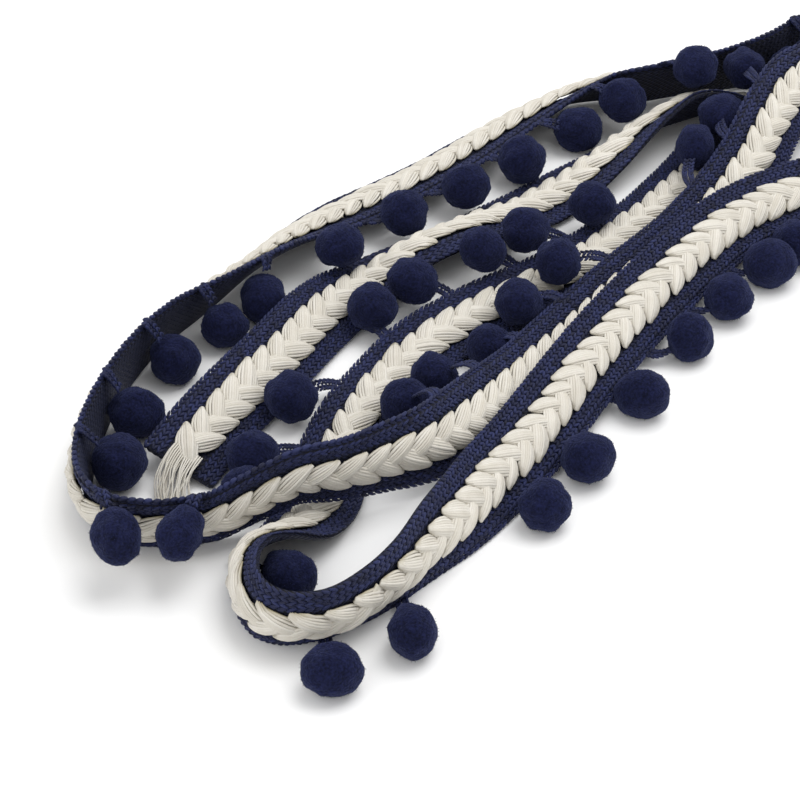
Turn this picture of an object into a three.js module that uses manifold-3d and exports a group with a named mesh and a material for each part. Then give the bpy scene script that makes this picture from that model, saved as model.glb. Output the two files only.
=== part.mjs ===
// Pompom fringe trim: a navy ground tape with a cream braid on its face and a row of navy pompoms along one edge.
// The length lies on a floor in loose folds, as it does in the photograph. Millimetres, +Z up.
import * as THREE from "three";
import Module from "manifold-3d";

const tapeWidth = 22; // whole band, pompom edging to plain edge
const tapeThick = 2;
const rimRise = 0.25; // outermost chain of each rib stands above the rib
const braidHalf = 5.4;
const braidLow = 1.7; // underside of the braid above the middle of the tape
const braidHigh = 3.9;
const leafPitch = 7.5; // one leaf of the braid on each side
const leafRings = 3; // sections to a pitch
const leafIn = 0.8; // how far the edge draws in between leaves
const leafDip = 0.9; // and how far the top dips
const stationStep = 2.7; // along the route
const leafSlant = 0.55; // how far a leaf's tip runs ahead of its root, per mm of width
const edgingWidth = 1.3;
const edgingGap = 0.35; // edging to tape, and row to row
const pomRadius = 6.8;
const pomPitch = 24;
const pomFirst = 12;
const stalkWide = 2.4;
const stalkThick = 1.2;
const reachLeast = 9; // edging to the middle of a pompom
const reachMost = 19;
const yarnCount = 10;
const yarnLong = 14;
const yarnThick = 0.55; // middle of a loose yarn to its edge
const clearance = 0.6;
const ribFrom = 5.5; // where the ribs begin, each side of the middle

// How the trim lies: middle of the tape, one row each 12 to 18 mm of its length.
// Lift raises it off the floor, roll turns its pompom edge up, arch bends the plain edge away from the face.
// x, y, lift, roll, arch
const route = [
  [-59, -34, 0, 20, 0],
  [-52, -20, 0, 26, 0],
  [-44, -6, 0, 28, 0],
  [-35, 9, 0, 28, 0],
  [-25, 27, 0, 26, 0],
  [-16, 42, 0, 14, 5],
  [-6, 54, 1, -8, 20],
  [5, 61, 2, -24, 34],
  [17, 69, 2, -26, 36],
  [29, 80, 1, -14, 24],
  [41, 91, 0, -4, 10],
  [51, 100, 0, -8, 5],
  [61, 109, 0, -20, 5],
  [71, 119, 0, -34, 5],
  [80, 127, 0, -46, 5],
  [90, 134, 0, -54, 0],
  [100, 138, 0, -46, 0],
  [111, 141, 0, -26, 0],
  [123, 143, 0, -6, 0],
  [137, 147, 0, 4, 0],
  [152, 154, 0, 20, 0],
  [162, 164, 0, 44, 0],
  [164, 176, 0, 68, 0],
  [155, 184, 0, 90, 0],
  [142, 181, 0, 90, 0],
  [129, 171, 0, 86, 0],
  [116, 161, 0, 78, 0],
  [103, 155, 0, 70, 0],
  [90, 151, 0, 64, 0],
  [77, 147, 0, 62, 0],
  [64, 146, 0, 50, 0],
  [52, 141, 0, 38, 5],
  [39, 132, 0, 27, 10],
  [26, 121, 0, 19, 10],
  [13, 108, 0, 16, 10],
  [-1, 96, 0, 14, 8],
  [-16, 84, 0, 14, 5],
  [-29, 70, 0, 26, 0],
  [-40, 53, 0, 46, 0],
  [-53, 35, 0, 60, 0],
  [-64, 22, 0, 70, 0],
  [-72, 8, 0, 77, 0],
  [-78, -8, 0, 83, 0],
  [-82, -26, 0, 90, 0],
  [-83, -42, 0, 96, 0],
  [-80, -54, 0, 102, 0],
  [-73, -61, 0, 106, 0],
  [-62, -63, 0, 108, 0],
  [-49, -61, 0, 106, 0],
  [-37, -57, 4, 104, 0],
  [-26, -53, 7, 101, 0],
  [-15, -49, 6, 95, 0],
  [-4, -43, 5, 86, 0],
  [7, -36, 4, 72, 0],
  [17, -25, 3, 56, 0],
  [26, -12, 1, 44, 0],
  [36, 2, 0, 34, 0],
  [46, 17, 0, 28, 0],
  [58, 34, 0, 26, 0],
  [70, 50, 0, 25, 0],
  [83, 66, 0, 25, 0],
  [96, 85, 0, 28, 0],
  [107, 103, 3, 34, 0],
  [115, 120, 7, 40, 0],
  [124, 136, 9, 40, 0],
  [136, 146, 10, 28, 0],
  [149, 146, 8, 10, 0],
  [159, 137, 3, -8, 0],
  [161, 123, 1, -20, 0],
  [154, 110, 0, -26, 0],
  [142, 101, 0, -28, 0],
  [130, 96, 0, -28, 0],
  [118, 89, 1, -26, 0],
  [107, 81, 2, -25, 0],
  [97, 71, 3, -25, 0],
  [87, 59, 3, -25, 0],
  [77, 45, 3, -25, 0],
  [67, 30, 3, -25, 0],
  [57, 14, 3, -25, 0],
  [48, -2, 3, -25, 0],
  [40, -16, 2, -26, 0],
  [32, -30, 1, -30, 0],
  [24, -43, 0, -40, 0],
  [16, -57, 0, -56, 0],
  [8, -69, 0, -74, 5],
  [0, -81, 0, -90, 10],
  [-9, -91, 0, -101, 15],
  [-19, -98, 0, -108, 22],
  [-29, -99, 0, -104, 26],
  [-36, -94, 0, -92, 28],
  [-39, -84, 0, -78, 28],
  [-38, -76, 1, -62, 26],
  [-34, -69, 1, -44, 22],
  [-29, -62, 0, -26, 16],
  [-24, -54, 0, -10, 6],
  [-21, -44, 0, 0, 0],
  [-18, -29, 0, 0, 0],
  [-12, -12, 0, 8, 0],
  [-3, 5, 0, 10, 0],
  [7, 20, 0, 12, 0],
  [18, 31, 0, 12, 0],
  [29, 40, 0, 12, 0],
  [41, 49, 0, 10, 0],
  [53, 60, 0, 8, 0],
  [65, 74, 0, 4, 0],
  [77, 89, 0, 0, 0],
  [88, 105, 0, 0, 0],
  [96, 118, 0, 0, 0],
  [103, 130, 0, 0, 0],
];

// Where pompoms lie that don't simply fall outwards: number along the trim from 0, then x, y, z (0 is on the floor).
const placed = [
  [17, 96, 144, 22],
  [18, 72, 140, 13],
  [19, 54, 123, 0],
  [20, 36, 106, 0],
  [21, 17, 89, 0],
  [22, -2, 78, 0],
  [23, -23, 56, 11],
  [24, -38, 37, 0],
  [25, -49, 25, 0],
  [26, -62, 11, 0],
  [27, -72, -15, 8],
  [28, -74, -34, 8],
  [29, -71, -75, 17],
  [30, -55, -74, 17],
  [33, 1, -14, 11],
  [34, 9, -1, 9],
  [35, 18, 14, 0],
  [36, 33, 21, 10],
  [37, 45, 39, 11],
  [39, 89, 105, 9],
  [40, 96, 125, 15],
  [41, 107, 141, 18],
  [47, 117, 66, 0],
  [48, 108, 55, 0],
  [49, 92, 43, 0],
  [50, 79, 25, 0],
  [51, 66, -6, 0],
  [52, 48, -29, 0],
  [53, 34, -47, 0],
  [55, 5, -109, 0],
  [56, -16, -115, 0],
  [58, -25, -82, 0],
  [59, -38, -50, 0],
  [60, -42, -38, 0],
  [61, -37, -20, 0],
  [62, -9, 31, 8],
  [63, 8, 39, 10],
  [64, 24, 51, 12],
  [65, 37, 63, 12],
  [66, 57, 79, 11],
];

// Places where the folds lie too close for a pompom to be seen or to fit.
const tucked = [0, 1, 2, 3, 4, 5, 6, 7, 8, 9, 10, 11, 12, 14, 16, 31, 32, 38, 54, 57, 67, 68];

// Pompom places passed where one run of the edging stops and the next starts, midway between two of them.
const runEnds = [
  6, 12, 14, 17, 19, 22, 25, 27, 29, 31, 34, 37, 39, 42, 43, 44, 45, 46, 48, 51, 53, 55, 57, 59, 61, 63, 65,
];

const radians = (degrees) => (degrees * Math.PI) / 180;
const mix = (a, b, k) => a + (b - a) * k;
const vector = (x, y, z) => new THREE.Vector3(x, y, z);

// A point of the flat section, with the plain edge's rib bent back by the arch.
function bent(w, t, arch) {
  const past = w - ribFrom;
  if (past <= 0) return [w, t];
  return [ribFrom + past * Math.cos(arch) + t * Math.sin(arch), t * Math.cos(arch) - past * Math.sin(arch)];
}

const half = tapeWidth / 2;
const corners = [-half, -ribFrom, ribFrom, half].flatMap((w) => [
  [w, -tapeThick / 2],
  [w, tapeThick / 2 + rimRise],
]);

// Height of the middle of the tape when its lowest corner touches the floor.
function rise(roll, arch) {
  const heights = corners.map(([w, t]) => {
    const [across, up] = bent(w, t, arch);
    return up * Math.cos(roll) - across * Math.sin(roll);
  });
  return -Math.min(...heights);
}

function spline(a, b, c, d, k) {
  const linear = c - a;
  const square = 2 * a - 5 * b + 4 * c - d;
  const cube = 3 * b - 3 * c + d - a;
  return 0.5 * (2 * b + linear * k + square * k * k + cube * k * k * k);
}

// Even stations along the route, each with its frame: ahead, normal to the face, and across to the plain edge.
function layRoute(spacing) {
  const rows = route.map(([x, y, lift, roll, arch]) => {
    const turn = radians(roll);
    const bend = radians(arch);
    return [x, y, lift + rise(turn, bend), turn, bend];
  });
  const last = rows.length - 1;
  const before = rows[0].map((v, i) => 2 * v - rows[1][i]);
  const after = rows[last].map((v, i) => 2 * v - rows[last - 1][i]);
  const padded = [before, ...rows, after];
  const fine = [];
  for (let i = 0; i < last; i++)
    for (let j = 0; j < 30; j++) {
      const [a, b, c, d] = padded.slice(i, i + 4);
      fine.push(a.map((_, n) => spline(a[n], b[n], c[n], d[n], j / 30)));
    }
  fine.push(rows[last]);
  const run = [0];
  for (let i = 1; i < fine.length; i++) {
    const [a, b] = [fine[i - 1], fine[i]];
    run.push(run[i - 1] + Math.hypot(b[0] - a[0], b[1] - a[1], b[2] - a[2]));
  }
  const length = run[run.length - 1];
  const count = Math.round(length / spacing);
  const even = [];
  let k = 0;
  for (let i = 0; i <= count; i++) {
    const s = (length * i) / count;
    while (k < run.length - 2 && run[k + 1] < s) k++;
    const part = (s - run[k]) / (run[k + 1] - run[k]);
    even.push(fine[k].map((v, n) => mix(v, fine[k + 1][n], part)));
  }
  const stations = even.map((row, i) => {
    const a = even[Math.max(i - 1, 0)];
    const b = even[Math.min(i + 1, count)];
    const ahead = vector(b[0] - a[0], b[1] - a[1], b[2] - a[2]).normalize();
    const right = vector(ahead.y, -ahead.x, 0).normalize();
    const up = right.clone().cross(ahead);
    const [cos, sin] = [Math.cos(row[3]), Math.sin(row[3])];
    const normal = up.clone().multiplyScalar(cos).addScaledVector(right, sin);
    const across = right.clone().multiplyScalar(cos).addScaledVector(up, -sin);
    return { middle: vector(row[0], row[1], row[2]), ahead, normal, across, arch: row[4] };
  });
  for (const one of stations) {
    const lowest = Math.min(...corners.map(([w, t]) => spot(one, w, t).z));
    one.middle.z += Math.max(0, -lowest);
  }
  return { stations, length, spacing: length / count };
}

function spot(station, w, t) {
  const [across, up] = bent(w, t, station.arch);
  return station.middle.clone().addScaledVector(station.across, across).addScaledVector(station.normal, up);
}

const laid = layRoute(stationStep);

// The frame at any arc length, between two stations.
function at(s) {
  const place = Math.min(Math.max(s / laid.spacing, 0), laid.stations.length - 1.000001);
  const i = Math.floor(place);
  const k = place - i;
  const [a, b] = [laid.stations[i], laid.stations[i + 1]];
  const blend = (name) => a[name].clone().lerp(b[name], k);
  const normal = blend("normal").normalize();
  const across = blend("across").normalize();
  return { middle: blend("middle"), ahead: blend("ahead").normalize(), normal, across, arch: mix(a.arch, b.arch, k) };
}

// Arc lengths far enough apart to save faces and near enough that the edges stay within the tolerance.
function thin(tolerance, longest) {
  const { stations, spacing } = laid;
  const probes = [[-half, 0], [-braidHalf, 1], [braidHalf, 1], [half, 0]];
  const strays = (i, j) => {
    const [a, b] = [stations[i], stations[j]];
    const one = spot(a, -ribFrom, 1).add(spot(b, ribFrom, 1));
    const other = spot(a, ribFrom, 1).add(spot(b, -ribFrom, 1));
    if (one.distanceTo(other) / 4 > 1.2 * tolerance) return true;
    for (let m = i + 1; m < j; m++)
      for (const [w, t] of probes) {
        const straight = spot(stations[i], w, t).lerp(spot(stations[j], w, t), (m - i) / (j - i));
        if (straight.distanceTo(spot(stations[m], w, t)) > tolerance) return true;
      }
    return false;
  };
  const kept = [0];
  let i = 0;
  while (i < stations.length - 1) {
    let j = i + 1;
    while (j + 1 < stations.length && (j + 1 - i) * spacing <= longest && !strays(i, j + 1)) j++;
    kept.push(j * spacing);
    i = j;
  }
  return kept;
}

// A closed body from rings of points, the ends shut with the section's own triangles.
function skin(rings, flat) {
  const count = flat.length;
  const points = rings.flat();
  const faces = [];
  for (let i = 0; i + 1 < rings.length; i++)
    for (let j = 0; j < count; j++) {
      const next = (j + 1) % count;
      const [a, b] = [i * count + j, i * count + next];
      faces.push(a, b + count, b, a, a + count, b + count);
    }
  const cap = THREE.ShapeUtils.triangulateShape(flat.map(([w, t]) => new THREE.Vector2(w, t)), []);
  const end = (rings.length - 1) * count;
  for (const [a, b, c] of cap) {
    faces.push(a, b, c);
    faces.push(end + a, end + c, end + b);
  }
  const geometry = new THREE.BufferGeometry().setFromPoints(points);
  geometry.setIndex(faces);
  return geometry;
}

const wasm = await Module();
wasm.setup();

function solid(geometry) {
  const mesh = new wasm.Mesh({
    numProp: 3,
    vertProperties: new Float32Array(geometry.attributes.position.array),
    triVerts: new Uint32Array(geometry.index.array),
  });
  return new wasm.Manifold(mesh);
}

function geometryOf(body) {
  const mesh = body.getMesh();
  const geometry = new THREE.BufferGeometry();
  geometry.setAttribute("position", new THREE.Float32BufferAttribute(mesh.vertProperties, 3));
  geometry.setIndex(new THREE.Uint32BufferAttribute(mesh.triVerts, 1));
  return geometry;
}

// Ground tape
const edgingIn = half - edgingWidth - edgingGap;
const top = tapeThick / 2;
const tapeSection = [
  [-edgingIn, -top],
  [ribFrom, -top],
  [half - 0.2, -top],
  [half, top + rimRise],
  [ribFrom, top],
  [-ribFrom, top],
  [-edgingIn, top + rimRise],
];
const tapeStops = thin(0.2, 27);
const tape = skin(
  tapeStops.map((s) => tapeSection.map(([w, t]) => spot(at(s), w, t))),
  tapeSection,
);

// Braid: leaves by turns on the left and the right, each half a pitch after the other
const braidFrom = 3;
const braidTo = laid.length - 5;
function braidRing(s, phase) {
  const left = Math.abs(1 - 2 * phase); // 1 at a left leaf, 0 at a right one
  const leftWide = braidHalf - leafIn * (1 - left);
  const rightWide = braidHalf - leafIn * left;
  const leftHigh = braidHigh - leafDip * (1 - left);
  const rightHigh = braidHigh - leafDip * left;
  const flat = [
    [-leftWide, braidLow],
    [rightWide, braidLow],
    [rightWide - 1.3, rightHigh],
    [-leftWide + 1.3, leftHigh],
  ];
  return flat.map(([w, t]) => spot(at(s + Math.abs(w) * leafSlant), w, t));
}
const braidRings = [];
for (let i = 0; braidFrom + (i * leafPitch) / leafRings < braidTo; i++)
  braidRings.push(braidRing(braidFrom + (i * leafPitch) / leafRings, (i % leafRings) / leafRings));
const braidFlat = [[-5, 0], [5, 0], [4, 2], [-4, 2]];
const braid = skin(braidRings, braidFlat);

// Pompoms: each starts at its own place or straight out from the edging, sinks to the floor,
// and is pushed clear of the band and of its neighbours
const probes = [];
for (const one of laid.stations) {
  for (const w of [-10.4, -7.6, 7.6, 10.4]) probes.push([spot(one, w, 0), 1.4]);
  for (const w of [-5, -2, 2, 5]) probes.push([spot(one, w, 0), 1.2]);
  for (const w of [-3.4, 0, 3.4]) probes.push([spot(one, w, 2), 2.1]);
}
function rootAt(s) {
  const one = at(s);
  const root = spot(one, -half + 0.35 * edgingWidth, 0);
  root.z = Math.max(root.z, stalkThick / 2 + 0.02);
  const outward = spot(one, -half - 3, 0).sub(root).normalize();
  const ahead = one.ahead.clone().setZ(0).normalize();
  return { root, outward, ahead, normal: one.normal };
}
function settle() {
  const every = [];
  for (let s = pomFirst; s < laid.length - 6; s += pomPitch) {
    const anchor = rootAt(s);
    const side = vector(-anchor.ahead.y, anchor.ahead.x, 0).normalize();
    const start = anchor.root.clone().addScaledVector(side, 12);
    start.z = pomRadius;
    every.push({ s, centre: start, rest: pomRadius, number: every.length, ...anchor });
  }
  for (const [i, x, y, z] of placed) {
    every[i].centre.set(x, y, z);
    every[i].rest = Math.max(z, pomRadius);
  }
  const poms = every.filter((pom) => !tucked.includes(pom.number));
  const away = vector(0, 0, 0);
  const push = (centre, from, least) => {
    away.subVectors(centre, from);
    const gap = away.length();
    if (gap < least) centre.addScaledVector(away, (least - gap) / gap);
  };
  for (let pass = 0; pass < 150; pass++)
    for (const pom of poms) {
      const { centre, root } = pom;
      centre.z += (pom.rest - centre.z) * 0.06;
      away.subVectors(centre, root);
      const reach = away.length();
      const wanted = Math.min(Math.max(reach, reachLeast), reachMost);
      centre.addScaledVector(away, (wanted - reach) / reach);
      for (const other of poms) if (other !== pom) push(centre, other.centre, 2 * pomRadius + clearance);
      for (const [from, radius] of probes) push(centre, from, pomRadius + radius + clearance);
      centre.z = Math.max(centre.z, pomRadius);
    }
  return poms;
}
const poms = settle();

function ball(centre) {
  const geometry = new THREE.BufferGeometry();
  const list = [[0, 0, pomRadius]];
  for (const level of [0.72, 0, -0.72])
    for (let i = 0; i < 7; i++) {
      const turn = (i * 2 * Math.PI) / 7;
      const wide = pomRadius * Math.sqrt(1 - level * level) * 1.04;
      list.push([wide * Math.cos(turn), wide * Math.sin(turn), pomRadius * level]);
    }
  list.push([0, 0, -pomRadius]);
  const faces = [];
  for (let i = 0; i < 7; i++) {
    const j = (i + 1) % 7;
    faces.push(0, 1 + i, 1 + j);
    for (const row of [1, 8]) faces.push(row + i, row + 7 + i, row + 7 + j, row + i, row + 7 + j, row + j);
    faces.push(15 + i, 22, 15 + j);
  }
  geometry.setAttribute("position", new THREE.Float32BufferAttribute(list.flat(), 3));
  geometry.setIndex(faces);
  geometry.translate(centre.x, centre.y, centre.z);
  return geometry;
}

// A straight strand of three sides, its wide side level unless the strand stands upright.
function strand(from, to, wide, thick, side) {
  const flat = [[-wide / 2, -thick / 2], [wide / 2, -thick / 2], [0, thick / 2]];
  const along = to.clone().sub(from).normalize();
  const level = along.clone().cross(vector(0, 0, 1));
  const upright = side.clone().addScaledVector(along, -side.dot(along));
  const across = (Math.abs(along.z) > 0.9 ? upright : level).normalize();
  const over = across.clone().cross(along);
  const ring = (p) => flat.map(([w, t]) => p.clone().addScaledVector(across, w).addScaledVector(over, t));
  return skin([ring(from), ring(to)], flat);
}

// A stalk leaves straight out from the edging, or along the floor where the edging faces down.
function elbowOf(pom) {
  const aside = Math.max(-2.8, Math.min(2.8, 0.5 * pom.centre.clone().sub(pom.root).dot(pom.normal)));
  if (pom.outward.z > -0.35)
    return pom.root.clone().addScaledVector(pom.outward, 2.2).addScaledVector(pom.normal, aside);
  const level = pom.centre.clone().sub(pom.root).setZ(0).normalize();
  const elbow = pom.root.clone().addScaledVector(level, 3.5);
  elbow.z = stalkThick / 2 + 0.02;
  return elbow;
}

function edgingRun(from, to) {
  const section = [
    [-half, 0],
    [-half + edgingWidth, -0.9],
    [-half + edgingWidth, 0.9],
  ];
  const stops = [from, ...tapeStops.filter((s) => s > from + 0.8 && s < to - 0.8), to];
  let body = solid(skin(stops.map((s) => section.map(([w, t]) => spot(at(s), w, t))), section));
  for (const pom of poms.filter((p) => p.s > from && p.s < to)) {
    const reach = pom.centre.clone().sub(pom.root).normalize();
    const turns = reach.dot(pom.outward) > 0.45 ? [] : [elbowOf(pom)];
    const bends = [pom.root, ...turns, pom.centre];
    for (let i = 0; i + 1 < bends.length; i++)
      body = body.add(solid(strand(bends[i], bends[i + 1], stalkWide, stalkThick, pom.ahead)));
    body = body.add(solid(ball(pom.centre)));
  }
  return geometryOf(body);
}

// Braid yarns left loose at the near end: they leave a whipped root, fan out and drop to the floor.
function looseYarns() {
  const one = at(0.6);
  const spread = (w, t, behind) => spot(one, w, t).addScaledVector(one.ahead, -behind);
  const section = [[-4.4, 1.8], [4.4, 1.8], [4.4, 3.4], [-4.4, 3.4]];
  const yarnFlat = [0, 1, 2].map((k) => {
    const turn = (k * 2 * Math.PI) / 3;
    return [yarnThick * Math.cos(turn), yarnThick * Math.sin(turn)];
  });
  const whipping = [0.6, -1.8].map((back) => section.map(([w, t]) => spread(w, t, back)));
  let body = solid(skin(whipping, section));
  for (let i = 0; i < yarnCount; i++) {
    const w = mix(-4, 4, i / (yarnCount - 1));
    const long = yarnLong * (0.86 + 0.14 * Math.cos(2.4 * i));
    const t = i % 2 === 0 ? 2.2 : 3;
    const rings = [1, 0.7, 0.35, -0.1].map((part) => {
      const fall = Math.max(part, 0);
      const middle = spread(w * (1 + 0.3 * fall), t, part * long);
      middle.z = Math.max(middle.z - 5.5 * fall ** 1.5, yarnThick);
      return yarnFlat.map(([w2, z]) => middle.clone().addScaledVector(one.across, w2).add(vector(0, 0, z)));
    });
    body = body.add(solid(skin(rings, yarnFlat)));
  }
  return geometryOf(body);
}

const navyKnit = new THREE.MeshStandardMaterial({ color: 0x141a38, roughness: 0.9, metalness: 0 });
const navyPompom = new THREE.MeshStandardMaterial({ color: 0x12183a, roughness: 0.95, metalness: 0 });
const creamCotton = new THREE.MeshStandardMaterial({ color: 0xe6dfd0, roughness: 0.85, metalness: 0 });

const trim = new THREE.Group();
const middle = vector(-50.789, -34.284, 0);
function piece(name, geometry, material) {
  const mesh = new THREE.Mesh(geometry, material);
  mesh.name = name;
  mesh.position.copy(middle);
  trim.add(mesh);
}
piece("ground_tape", tape, navyKnit);
piece("cotton_braid", braid, creamCotton);
piece("end_yarns", looseYarns(), creamCotton);
const stops = [0, ...runEnds.map((passed) => passed * pomPitch), laid.length];
for (let i = 0; i + 1 < stops.length; i++) {
  const from = i === 0 ? 0 : stops[i] + edgingGap / 2;
  const to = i + 2 === stops.length ? stops[i + 1] : stops[i + 1] - edgingGap / 2;
  piece(`pompom_row_${i + 1}`, edgingRun(from, to), navyPompom);
}

export default trim;
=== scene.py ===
import bpy
import bmesh
import math
import numpy as np
from mathutils import Matrix, Vector, noise


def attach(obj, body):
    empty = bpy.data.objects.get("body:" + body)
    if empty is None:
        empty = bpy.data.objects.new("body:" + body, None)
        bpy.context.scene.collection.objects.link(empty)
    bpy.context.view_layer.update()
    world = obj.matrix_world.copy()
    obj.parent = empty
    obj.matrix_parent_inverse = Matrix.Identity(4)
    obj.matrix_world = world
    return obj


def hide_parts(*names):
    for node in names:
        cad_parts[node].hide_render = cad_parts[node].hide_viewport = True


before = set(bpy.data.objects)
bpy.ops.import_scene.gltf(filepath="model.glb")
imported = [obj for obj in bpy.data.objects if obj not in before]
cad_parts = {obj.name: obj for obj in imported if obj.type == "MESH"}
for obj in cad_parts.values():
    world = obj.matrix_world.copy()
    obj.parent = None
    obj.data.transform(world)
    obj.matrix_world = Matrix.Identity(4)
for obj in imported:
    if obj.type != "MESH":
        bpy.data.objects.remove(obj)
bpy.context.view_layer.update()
rng = np.random.default_rng(11)

# Camera: the photograph looks down at 39 degrees through a long lens
camera = {"target": (-0.050789, -0.034284, 0.0), "elevation": 39, "distance": 0.72, "lens": 117, "sensor": 36}

# The trim, lying on the floor; metres and degrees
trim = {
    "width": 0.022,
    "thick": 0.002,
    "rim": 0.00025,  # the outermost chains stand above the ribs
    "ribFrom": 0.0055,
    "spacing": 0.0027,  # between stations along the route
    "offFloor": 0.00002,
    "middle": (-0.050789, -0.034284, 0.0),  # puts the model's centre at the origin
}
route = [  # x, y, lift off the floor (metres), roll, arch (degrees)
    (-0.059, -0.034, 0.000, 20, 0),
    (-0.052, -0.020, 0.000, 26, 0),
    (-0.044, -0.006, 0.000, 28, 0),
    (-0.035, 0.009, 0.000, 28, 0),
    (-0.025, 0.027, 0.000, 26, 0),
    (-0.016, 0.042, 0.000, 14, 5),
    (-0.006, 0.054, 0.001, -8, 20),
    (0.005, 0.061, 0.002, -24, 34),
    (0.017, 0.069, 0.002, -26, 36),
    (0.029, 0.080, 0.001, -14, 24),
    (0.041, 0.091, 0.000, -4, 10),
    (0.051, 0.100, 0.000, -8, 5),
    (0.061, 0.109, 0.000, -20, 5),
    (0.071, 0.119, 0.000, -34, 5),
    (0.080, 0.127, 0.000, -46, 5),
    (0.090, 0.134, 0.000, -54, 0),
    (0.100, 0.138, 0.000, -46, 0),
    (0.111, 0.141, 0.000, -26, 0),
    (0.123, 0.143, 0.000, -6, 0),
    (0.137, 0.147, 0.000, 4, 0),
    (0.152, 0.154, 0.000, 20, 0),
    (0.162, 0.164, 0.000, 44, 0),
    (0.164, 0.176, 0.000, 68, 0),
    (0.155, 0.184, 0.000, 90, 0),
    (0.142, 0.181, 0.000, 90, 0),
    (0.129, 0.171, 0.000, 86, 0),
    (0.116, 0.161, 0.000, 78, 0),
    (0.103, 0.155, 0.000, 70, 0),
    (0.090, 0.151, 0.000, 64, 0),
    (0.077, 0.147, 0.000, 62, 0),
    (0.064, 0.146, 0.000, 50, 0),
    (0.052, 0.141, 0.000, 38, 5),
    (0.039, 0.132, 0.000, 27, 10),
    (0.026, 0.121, 0.000, 19, 10),
    (0.013, 0.108, 0.000, 16, 10),
    (-0.001, 0.096, 0.000, 14, 8),
    (-0.016, 0.084, 0.000, 14, 5),
    (-0.029, 0.070, 0.000, 26, 0),
    (-0.040, 0.053, 0.000, 46, 0),
    (-0.053, 0.035, 0.000, 60, 0),
    (-0.064, 0.022, 0.000, 70, 0),
    (-0.072, 0.008, 0.000, 77, 0),
    (-0.078, -0.008, 0.000, 83, 0),
    (-0.082, -0.026, 0.000, 90, 0),
    (-0.083, -0.042, 0.000, 96, 0),
    (-0.080, -0.054, 0.000, 102, 0),
    (-0.073, -0.061, 0.000, 106, 0),
    (-0.062, -0.063, 0.000, 108, 0),
    (-0.049, -0.061, 0.000, 106, 0),
    (-0.037, -0.057, 0.004, 104, 0),
    (-0.026, -0.053, 0.007, 101, 0),
    (-0.015, -0.049, 0.006, 95, 0),
    (-0.004, -0.043, 0.005, 86, 0),
    (0.007, -0.036, 0.004, 72, 0),
    (0.017, -0.025, 0.003, 56, 0),
    (0.026, -0.012, 0.001, 44, 0),
    (0.036, 0.002, 0.000, 34, 0),
    (0.046, 0.017, 0.000, 28, 0),
    (0.058, 0.034, 0.000, 26, 0),
    (0.070, 0.050, 0.000, 25, 0),
    (0.083, 0.066, 0.000, 25, 0),
    (0.096, 0.085, 0.000, 28, 0),
    (0.107, 0.103, 0.003, 34, 0),
    (0.115, 0.120, 0.007, 40, 0),
    (0.124, 0.136, 0.009, 40, 0),
    (0.136, 0.146, 0.010, 28, 0),
    (0.149, 0.146, 0.008, 10, 0),
    (0.159, 0.137, 0.003, -8, 0),
    (0.161, 0.123, 0.001, -20, 0),
    (0.154, 0.110, 0.000, -26, 0),
    (0.142, 0.101, 0.000, -28, 0),
    (0.130, 0.096, 0.000, -28, 0),
    (0.118, 0.089, 0.001, -26, 0),
    (0.107, 0.081, 0.002, -25, 0),
    (0.097, 0.071, 0.003, -25, 0),
    (0.087, 0.059, 0.003, -25, 0),
    (0.077, 0.045, 0.003, -25, 0),
    (0.067, 0.030, 0.003, -25, 0),
    (0.057, 0.014, 0.003, -25, 0),
    (0.048, -0.002, 0.003, -25, 0),
    (0.040, -0.016, 0.002, -26, 0),
    (0.032, -0.030, 0.001, -30, 0),
    (0.024, -0.043, 0.000, -40, 0),
    (0.016, -0.057, 0.000, -56, 0),
    (0.008, -0.069, 0.000, -74, 5),
    (0.000, -0.081, 0.000, -90, 10),
    (-0.009, -0.091, 0.000, -101, 15),
    (-0.019, -0.098, 0.000, -108, 22),
    (-0.029, -0.099, 0.000, -104, 26),
    (-0.036, -0.094, 0.000, -92, 28),
    (-0.039, -0.084, 0.000, -78, 28),
    (-0.038, -0.076, 0.001, -62, 26),
    (-0.034, -0.069, 0.001, -44, 22),
    (-0.029, -0.062, 0.000, -26, 16),
    (-0.024, -0.054, 0.000, -10, 6),
    (-0.021, -0.044, 0.000, 0, 0),
    (-0.018, -0.029, 0.000, 0, 0),
    (-0.012, -0.012, 0.000, 8, 0),
    (-0.003, 0.005, 0.000, 10, 0),
    (0.007, 0.020, 0.000, 12, 0),
    (0.018, 0.031, 0.000, 12, 0),
    (0.029, 0.040, 0.000, 12, 0),
    (0.041, 0.049, 0.000, 10, 0),
    (0.053, 0.060, 0.000, 8, 0),
    (0.065, 0.074, 0.000, 4, 0),
    (0.077, 0.089, 0.000, 0, 0),
    (0.088, 0.105, 0.000, 0, 0),
    (0.096, 0.118, 0.000, 0, 0),
    (0.103, 0.130, 0.000, 0, 0),
]


def unit(rows):
    return rows / np.linalg.norm(rows, axis=-1, keepdims=True)


def bent(w, t, arch):  # the plain edge's rib bends back from the face
    past = w - trim["ribFrom"]
    across = np.where(past > 0, trim["ribFrom"] + past * np.cos(arch) + t * np.sin(arch), w)
    up = np.where(past > 0, t * np.cos(arch) - past * np.sin(arch), t)
    return across, up


half = trim["width"] / 2
corners = [(w, t) for w in (-half, -trim["ribFrom"], trim["ribFrom"], half)
           for t in (-trim["thick"] / 2, trim["thick"] / 2 + trim["rim"])]


def rise(roll, arch):  # height of the middle when the lowest corner touches the floor
    heights = []
    for w, t in corners:
        across, up = bent(w, t, arch)
        heights.append(up * math.cos(roll) - across * math.sin(roll))
    return -min(float(h) for h in heights)


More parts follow.
